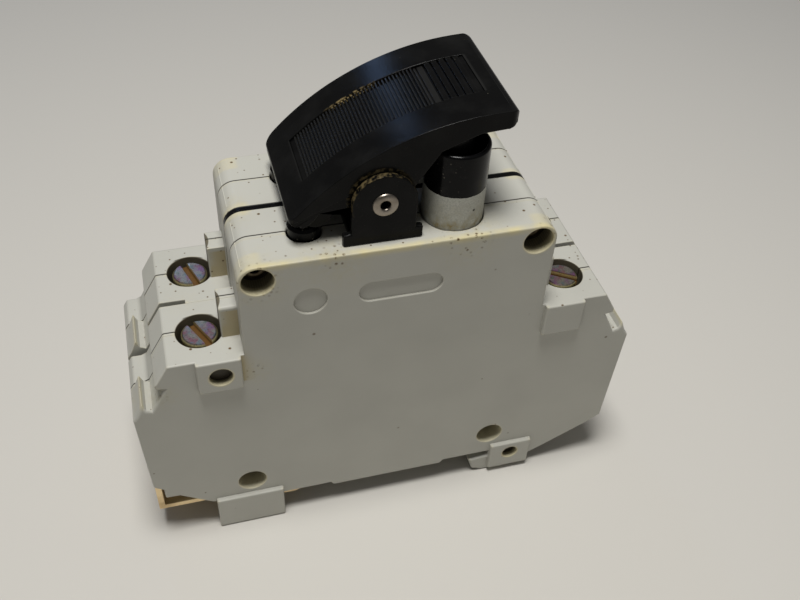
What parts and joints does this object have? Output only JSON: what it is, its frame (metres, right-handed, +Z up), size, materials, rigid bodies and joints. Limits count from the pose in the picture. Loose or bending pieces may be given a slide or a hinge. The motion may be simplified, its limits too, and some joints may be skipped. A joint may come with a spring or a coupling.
{
  "type": "miniature circuit breaker",
  "caption": "Double-pole rail-mounted miniature circuit breaker with push plungers under a common ribbed rocker, screw cage terminals and a sprung rail clip.",
  "frame": {"origin": "centre of the footprint at the underside of the feet", "axes": "+X along the length from the sprung clip end to the fixed hook end, +Y from the front pole to the back pole, +Z up, away from the rail"},
  "size_m": [0.0756, 0.025, 0.0712],
  "materials": {
    "housing_plastic": "matt thermoset, slightly yellowed",
    "black_plastic": "satin moulded black",
    "rocker_plastic": "satin moulded black",
    "button_plastic": "gloss black with a painted white band",
    "inner_plastic": "plain moulded",
    "rivet_steel": "nickel plated",
    "spring_steel": "bright steel",
    "zinc_screw": "yellow passivated zinc",
    "zinc_clamp": "zinc plated",
    "copper": "bare copper",
    "silver": "silver contact",
    "bimetal": "rolled strip",
    "winding": "enamelled wire",
    "iron": "bright iron",
    "clip_brass": "tarnished brass"
  },
  "bodies": {
    "housing": {"front_shell_near": "housing_plastic", "front_shell_far": "housing_plastic", "back_shell_near": "housing_plastic", "back_shell_far": "housing_plastic", "spacer_plate": "black_plastic", "housing_rivets": "rivet_steel", "pivot_bracket": "black_plastic", "pivot_rivet": "rivet_steel", "line_bar_front": "copper", "fixed_contact_front": "silver", "load_bar_front": "copper", "bimetal_front": "bimetal", "magnet_coil_front": "winding", "magnet_yoke_front": "iron", "lever_pins_front": "spring_steel", "arc_plates_front": "iron", "on_spring_front": "spring_steel", "clip_spring_front": "spring_steel", "line_bar_back": "copper", "fixed_contact_back": "silver", "load_bar_back": "copper", "bimetal_back": "bimetal", "magnet_coil_back": "winding", "magnet_yoke_back": "iron", "lever_pins_back": "spring_steel", "arc_plates_back": "iron", "on_spring_back": "spring_steel", "clip_spring_back": "spring_steel"},
    "rocker": {"rocker": "rocker_plastic"},
    "on_plunger_front": {"on_plunger_front": "button_plastic"},
    "off_plunger_front": {"off_plunger_front": "button_plastic"},
    "crank_lever_front": {"crank_lever_front": "inner_plastic"},
    "contact_arm_front": {"contact_arm_front": "copper", "moving_contact_front": "silver"},
    "magnet_core_front": {"magnet_core_front": "iron"},
    "trip_lever_front": {"trip_lever_front": "inner_plastic"},
    "rail_clip_front": {"rail_clip_front": "clip_brass"},
    "terminal_screw_front_left": {"terminal_screw_front_left": "zinc_screw"},
    "wire_clamp_front_left": {"wire_clamp_front_left": "zinc_clamp"},
    "terminal_screw_front_right": {"terminal_screw_front_right": "zinc_screw"},
    "wire_clamp_front_right": {"wire_clamp_front_right": "zinc_clamp"},
    "on_plunger_back": {"on_plunger_back": "button_plastic"},
    "off_plunger_back": {"off_plunger_back": "button_plastic"},
    "crank_lever_back": {"crank_lever_back": "inner_plastic"},
    "contact_arm_back": {"contact_arm_back": "copper", "moving_contact_back": "silver"},
    "magnet_core_back": {"magnet_core_back": "iron"},
    "trip_lever_back": {"trip_lever_back": "inner_plastic"},
    "rail_clip_back": {"rail_clip_back": "clip_brass"},
    "terminal_screw_back_left": {"terminal_screw_back_left": "zinc_screw"},
    "wire_clamp_back_left": {"wire_clamp_back_left": "zinc_clamp"},
    "terminal_screw_back_right": {"terminal_screw_back_right": "zinc_screw"},
    "wire_clamp_back_right": {"wire_clamp_back_right": "zinc_clamp"}
  },
  "joints": [
    {"name": "rocker_tilt", "type": "hinge", "parent": "housing", "child": "rocker", "pos_m": [-0.00235, 0.00038, 0.0601], "axis": [0, 1, 0], "range_deg": [0, 27.6]},
    {"name": "on_push_front", "type": "slide", "parent": "housing", "child": "on_plunger_front", "axis": [0, 0, -1], "range_m": [0, 0.00512], "deforming": ["on_spring_front"]},
    {"name": "off_push_front", "type": "slide", "parent": "housing", "child": "off_plunger_front", "axis": [0, 0, 1], "range_m": [0, 0.00409]},
    {"name": "crank_turn_front", "type": "hinge", "parent": "housing", "child": "crank_lever_front", "pos_m": [-0.00235, -0.00588, 0.041], "axis": [0, 1, 0], "range_deg": [0, 28]},
    {"name": "contact_close_front", "type": "hinge", "parent": "housing", "child": "contact_arm_front", "pos_m": [-0.006, -0.00588, 0.019], "axis": [0, -1, 0], "range_deg": [0, 13.2]},
    {"name": "core_pull_front", "type": "slide", "parent": "housing", "child": "magnet_core_front", "axis": [-1, 0, 0], "range_m": [0, 0.0012], "stiffness_N_per_m": 20, "springref_m": -0.001},
    {"name": "trip_turn_front", "type": "hinge", "parent": "housing", "child": "trip_lever_front", "pos_m": [0.0009, -0.00588, 0.0352], "axis": [0, 1, 0], "range_deg": [0, 5.1]},
    {"name": "clip_pull_front", "type": "slide", "parent": "housing", "child": "rail_clip_front", "axis": [-1, 0, 0], "range_m": [0, 0.0034], "stiffness_N_per_m": 200, "springref_m": -0.002, "deforming": ["clip_spring_front"]},
    {"name": "screw_turn_front_left", "type": "hinge", "parent": "housing", "child": "terminal_screw_front_left", "pos_m": [-0.0271, -0.00588, 0.036], "axis": [0, 0, -1], "range_deg": [0, 1801]},
    {"name": "clamp_lift_front_left", "type": "slide", "parent": "housing", "child": "wire_clamp_front_left", "axis": [0, 0, 1], "range_m": [0, 0.003]},
    {"name": "screw_turn_front_right", "type": "hinge", "parent": "housing", "child": "terminal_screw_front_right", "pos_m": [0.0271, -0.00588, 0.036], "axis": [0, 0, -1], "range_deg": [0, 1801]},
    {"name": "clamp_lift_front_right", "type": "slide", "parent": "housing", "child": "wire_clamp_front_right", "axis": [0, 0, 1], "range_m": [0, 0.003]},
    {"name": "on_push_back", "type": "slide", "parent": "housing", "child": "on_plunger_back", "axis": [0, 0, -1], "range_m": [0, 0.00514], "deforming": ["on_spring_back"]},
    {"name": "off_push_back", "type": "slide", "parent": "housing", "child": "off_plunger_back", "axis": [0, 0, 1], "range_m": [0, 0.00409]},
    {"name": "crank_turn_back", "type": "hinge", "parent": "housing", "child": "crank_lever_back", "pos_m": [-0.00235, 0.00662, 0.041], "axis": [0, 1, 0], "range_deg": [0, 28]},
    {"name": "contact_close_back", "type": "hinge", "parent": "housing", "child": "contact_arm_back", "pos_m": [-0.006, 0.00662, 0.019], "axis": [0, -1, 0], "range_deg": [0, 13.2]},
    {"name": "core_pull_back", "type": "slide", "parent": "housing", "child": "magnet_core_back", "axis": [-1, 0, 0], "range_m": [0, 0.0012], "stiffness_N_per_m": 20, "springref_m": -0.001},
    {"name": "trip_turn_back", "type": "hinge", "parent": "housing", "child": "trip_lever_back", "pos_m": [0.0009, 0.00662, 0.0352], "axis": [0, 1, 0], "range_deg": [0, 5.1]},
    {"name": "clip_pull_back", "type": "slide", "parent": "housing", "child": "rail_clip_back", "axis": [-1, 0, 0], "range_m": [0, 0.0034], "stiffness_N_per_m": 200, "springref_m": -0.002, "deforming": ["clip_spring_back"]},
    {"name": "screw_turn_back_left", "type": "hinge", "parent": "housing", "child": "terminal_screw_back_left", "pos_m": [-0.0271, 0.00662, 0.036], "axis": [0, 0, -1], "range_deg": [0, 1801]},
    {"name": "clamp_lift_back_left", "type": "slide", "parent": "housing", "child": "wire_clamp_back_left", "axis": [0, 0, 1], "range_m": [0, 0.003]},
    {"name": "screw_turn_back_right", "type": "hinge", "parent": "housing", "child": "terminal_screw_back_right", "pos_m": [0.0271, 0.00662, 0.036], "axis": [0, 0, -1], "range_deg": [0, 1801]},
    {"name": "clamp_lift_back_right", "type": "slide", "parent": "housing", "child": "wire_clamp_back_right", "axis": [0, 0, 1], "range_m": [0, 0.003]}
  ],
  "couplings": [
    {"joint": "rocker_tilt", "follows": "on_push_front", "rad_per_m": 93.815},
    {"joint": "off_push_front", "follows": "on_push_front", "ratio": 0.79539},
    {"joint": "crank_turn_front", "follows": "on_push_front", "rad_per_m": 94.565},
    {"joint": "contact_close_front", "follows": "on_push_front", "rad_per_m": 44.349},
    {"joint": "trip_turn_front", "follows": "core_pull_front", "rad_per_m": 72.722},
    {"joint": "screw_turn_front_left", "follows": "clamp_lift_front_left", "rad_per_m": 10472},
    {"joint": "screw_turn_front_right", "follows": "clamp_lift_front_right", "rad_per_m": 10472},
    {"joint": "on_push_back", "follows": "on_push_front", "ratio": 1},
    {"joint": "off_push_back", "follows": "on_push_front", "ratio": 0.79539},
    {"joint": "crank_turn_back", "follows": "on_push_front", "rad_per_m": 94.565},
    {"joint": "contact_close_back", "follows": "on_push_front", "rad_per_m": 44.349},
    {"joint": "trip_turn_back", "follows": "core_pull_back", "rad_per_m": 72.722},
    {"joint": "screw_turn_back_left", "follows": "clamp_lift_back_left", "rad_per_m": 10472},
    {"joint": "screw_turn_back_right", "follows": "clamp_lift_back_right", "rad_per_m": 10472}
  ]
}
